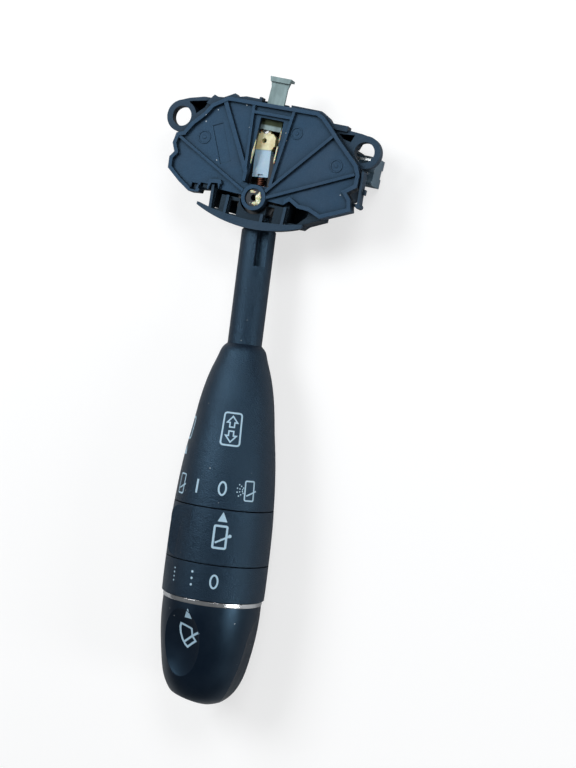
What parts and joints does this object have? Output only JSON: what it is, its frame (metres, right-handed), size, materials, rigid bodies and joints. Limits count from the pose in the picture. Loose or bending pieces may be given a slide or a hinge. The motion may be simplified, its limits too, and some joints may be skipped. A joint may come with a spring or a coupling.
{
  "type": "combination stalk switch",
  "caption": "Steering-column combination stalk switch: ribbed switch base with fixing ears, swinging lever, tapered grip, wiper ring and push-and-turn end knob.",
  "frame": {"origin": "midway between the two fixing holes, on the ears' seating face", "axes": "+X from the ear over the open side to the ear over the connector, +Y away from the lever, +Z out of the ribbed cover"},
  "size_m": [0.0796, 0.2158, 0.036],
  "materials": {
    "base_plastic": "dark blue-grey glass-filled plastic, satin",
    "grip_plastic": "near-black satin plastic with a fine grain",
    "knob_plastic": "near-black soft satin plastic",
    "connector_plastic": "pale grey-blue moulded plastic",
    "pin_metal": "tinned",
    "board": "lacquered laminate",
    "copper": "bare contact metal",
    "cream_plastic": "natural unfilled plastic",
    "pale_plastic": "pale bluish plastic, greased",
    "yellow_plastic": "greased yellowish plastic",
    "steel": "ground",
    "sheet_metal": "zinc-plated, dull",
    "spring_wire": "copper-brown wire",
    "spring_steel": "drawn wire",
    "sleeve_plastic": "plain moulded",
    "chrome": "bright plated"
  },
  "bodies": {
    "switch_base": {"lower_housing": "base_plastic", "fan_cover": "base_plastic", "connector_shell": "connector_plastic", "connector_pins": "pin_metal", "circuit_board": "board", "contact_tracks": "copper", "slide_guide": "cream_plastic", "pivot_bush": "cream_plastic", "detent_track": "base_plastic", "finger_pin": "steel"},
    "cancelling_finger": {"cancel_finger": "sheet_metal"},
    "turn_contacts": {"contact_slide": "cream_plastic", "contact_bridges": "copper"},
    "carrier": {"lever_carrier": "cream_plastic", "cross_pin": "steel", "detent_spring": "spring_wire"},
    "detent": {"detent_plunger": "pale_plastic", "plunger_cap": "yellow_plastic", "detent_roller": "steel"},
    "dip_contact": {"dip_plunger": "cream_plastic"},
    "stalk": {"lever_stem": "grip_plastic", "wiring_sleeve": "sleeve_plastic", "core_sleeve": "sleeve_plastic", "grip_barrel": "grip_plastic", "fixed_collar": "grip_plastic", "stalk_board": "board", "ring_detent_ball": "steel", "knob_detent_ball": "steel"},
    "wiper_ring": {"rear_wiper_ring": "grip_plastic"},
    "wiper_hub": {"knob_hub": "sleeve_plastic", "wiper_contact_disc": "copper", "wash_spring": "spring_steel"},
    "knob": {"end_knob": "knob_plastic", "chrome_ring": "chrome"}
  },
  "joints": [
    {"name": "turn_signal", "type": "hinge", "parent": "switch_base", "child": "carrier", "pos_m": [0, -0.0227, 0], "axis": [0, 0, 1], "range_deg": [-12, 12]},
    {"name": "high_beam_flash", "type": "hinge", "parent": "carrier", "child": "stalk", "pos_m": [0.00034, -0.02568, -0.004], "axis": [0.9934, 0.1149, 0], "range_deg": [-5, 5], "stiffness_Nm_per_rad": 6},
    {"name": "rear_wiper_turn", "type": "hinge", "parent": "stalk", "child": "wiper_ring", "pos_m": [0.0133, -0.13763, -0.004], "axis": [0.1149, -0.9934, 0], "range_deg": [-30, 58]},
    {"name": "wiper_knob_turn", "type": "hinge", "parent": "stalk", "child": "wiper_hub", "pos_m": [0.01391, -0.1429, -0.004], "axis": [0.1149, -0.9934, 0], "range_deg": [-26, 72]},
    {"name": "wash_push", "type": "slide", "parent": "wiper_hub", "child": "knob", "axis": [-0.1149, 0.9934, 0], "range_m": [0, 0.002], "stiffness_N_per_m": 800, "springref_m": -0.003, "deforming": ["wash_spring"]},
    {"name": "detent_slide", "type": "slide", "parent": "carrier", "child": "detent", "axis": [-0.1149, 0.9934, 0], "range_m": [-0.0015, 0.0007], "stiffness_N_per_m": 60, "deforming": ["detent_spring"]},
    {"name": "finger_swing", "type": "hinge", "parent": "switch_base", "child": "cancelling_finger", "pos_m": [-0.001, 0.0062, 0.0025], "axis": [0, 0, 1], "range_deg": [-8, 8], "stiffness_Nm_per_rad": 0.006},
    {"name": "turn_contact_slide", "type": "slide", "parent": "switch_base", "child": "turn_contacts", "axis": [1, 0, 0], "range_m": [-0.0024, 0.0024]},
    {"name": "dip_contact_slide", "type": "slide", "parent": "carrier", "child": "dip_contact", "axis": [0, 0, 1], "range_m": [-0.0008, 0.0008]}
  ],
  "couplings": [
    {"joint": "turn_contact_slide", "follows": "turn_signal", "m_per_rad": -0.010927},
    {"joint": "dip_contact_slide", "follows": "high_beam_flash", "m_per_rad": 0.0088}
  ]
}
